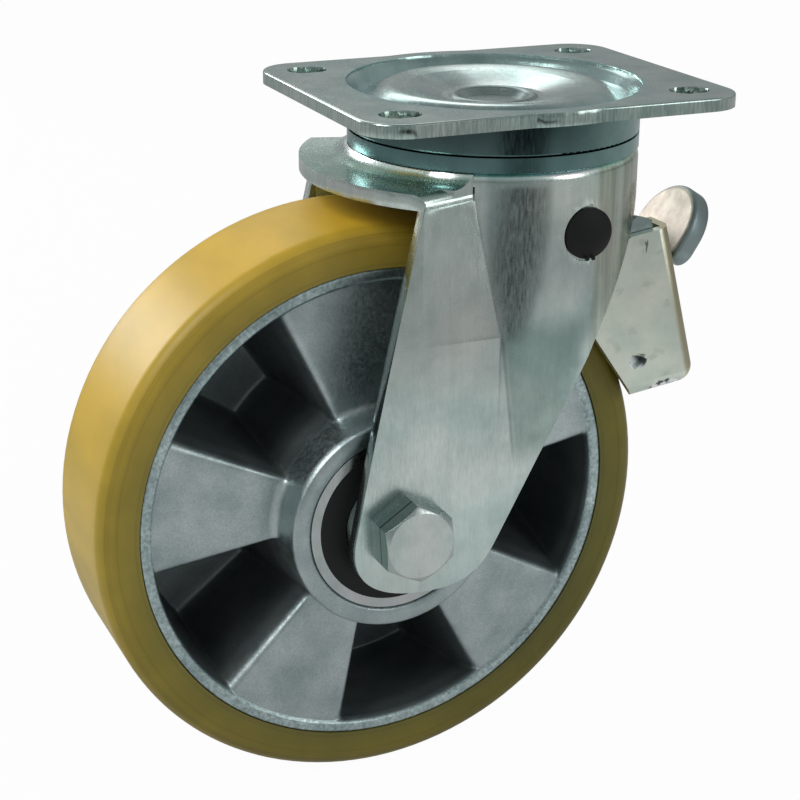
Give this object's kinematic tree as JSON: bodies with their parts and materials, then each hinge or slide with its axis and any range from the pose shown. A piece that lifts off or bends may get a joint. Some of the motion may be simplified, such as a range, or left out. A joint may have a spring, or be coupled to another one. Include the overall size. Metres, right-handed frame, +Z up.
{
  "type": "swivel castor",
  "caption": "Top plate swivel castor with a polyurethane tread on a spoked aluminium wheel, pressed fork, ball swivel head and foot brake.",
  "frame": {"origin": "centre of the mounting plate's top face, on the swivel axis", "axes": "+Z up out of the plate's top face, +X towards the brake, -X towards the trailing wheel, Y along the wheel's axle"},
  "size_m": [0.2364, 0.125, 0.24],
  "materials": {
    "zinc_fork": "satin zinc plated",
    "zinc_plate": "satin zinc plated",
    "zinc_brake": "zinc plated, greenish",
    "zinc_bolt": "zinc plated",
    "bearing_steel": "ground",
    "cast_aluminium": "satin die cast",
    "polyurethane": "satin, amber",
    "black_plastic": "matt",
    "black_rubber": "matt",
    "pedal_steel": "zinc plated"
  },
  "bodies": {
    "mounting_plate": {"top_plate": "zinc_plate", "king_pin": "zinc_bolt", "distance_bush": "zinc_bolt", "lower_race": "bearing_steel"},
    "upper_row": {"upper_balls": "bearing_steel"},
    "lower_row": {"lower_balls": "bearing_steel"},
    "fork_body": {"fork": "zinc_fork", "swivel_seal": "zinc_plate", "axle_bolt": "zinc_bolt", "axle_nut": "zinc_bolt", "axle_tube": "bearing_steel", "hub_spacer": "bearing_steel", "near_axle_collar": "zinc_bolt", "far_axle_collar": "zinc_bolt", "near_inner_ring": "bearing_steel", "far_inner_ring": "bearing_steel", "pivot_tube": "zinc_bolt", "near_plug": "black_plastic", "far_plug": "black_plastic", "near_spacer": "black_plastic", "far_spacer": "black_plastic", "return_spring": "zinc_bolt"},
    "wheel": {"wheel_centre": "cast_aluminium", "tread": "polyurethane", "near_outer_ring": "bearing_steel", "far_outer_ring": "bearing_steel", "near_seals": "black_rubber", "far_seals": "black_rubber"},
    "near_row": {"near_bearing_balls": "bearing_steel", "near_cage": "bearing_steel"},
    "far_row": {"far_bearing_balls": "bearing_steel", "far_cage": "bearing_steel"},
    "brake_lever": {"brake_housing": "zinc_brake", "brake_shoe": "zinc_bolt"},
    "pedal_lever": {"pedal": "pedal_steel"}
  },
  "joints": [
    {"name": "swivel", "type": "hinge", "parent": "mounting_plate", "child": "fork_body", "pos_m": [0, 0, 0], "axis": [0, 0, 1], "continuous": true},
    {"name": "upper_row_roll", "type": "hinge", "parent": "mounting_plate", "child": "upper_row", "pos_m": [0, 0, 0], "axis": [0, 0, 1], "continuous": true},
    {"name": "lower_row_roll", "type": "hinge", "parent": "mounting_plate", "child": "lower_row", "pos_m": [0, 0, 0], "axis": [0, 0, 1], "continuous": true},
    {"name": "wheel_spin", "type": "hinge", "parent": "fork_body", "child": "wheel", "pos_m": [-0.0516, 0, -0.14], "axis": [0, 1, 0], "continuous": true},
    {"name": "near_row_roll", "type": "hinge", "parent": "fork_body", "child": "near_row", "pos_m": [-0.0516, 0, -0.14], "axis": [0, 1, 0], "continuous": true},
    {"name": "far_row_roll", "type": "hinge", "parent": "fork_body", "child": "far_row", "pos_m": [-0.0516, 0, -0.14], "axis": [0, 1, 0], "continuous": true},
    {"name": "pedal_press", "type": "hinge", "parent": "fork_body", "child": "pedal_lever", "pos_m": [0.0114, 0, -0.0426], "axis": [0, 1, 0], "range_deg": [0, 10], "stiffness_Nm_per_rad": 0.6, "springref_deg": -28.65},
    {"name": "brake_press", "type": "hinge", "parent": "fork_body", "child": "brake_lever", "pos_m": [0.0114, 0, -0.0426], "axis": [0, 1, 0], "range_deg": [0, 1.4]}
  ],
  "couplings": [
    {"joint": "upper_row_roll", "follows": "swivel", "ratio": 0.5},
    {"joint": "lower_row_roll", "follows": "swivel", "ratio": 0.5},
    {"joint": "near_row_roll", "follows": "wheel_spin", "ratio": 0.632},
    {"joint": "far_row_roll", "follows": "wheel_spin", "ratio": 0.632},
    {"joint": "brake_press", "follows": "pedal_press", "ratio": 0.14}
  ]
}
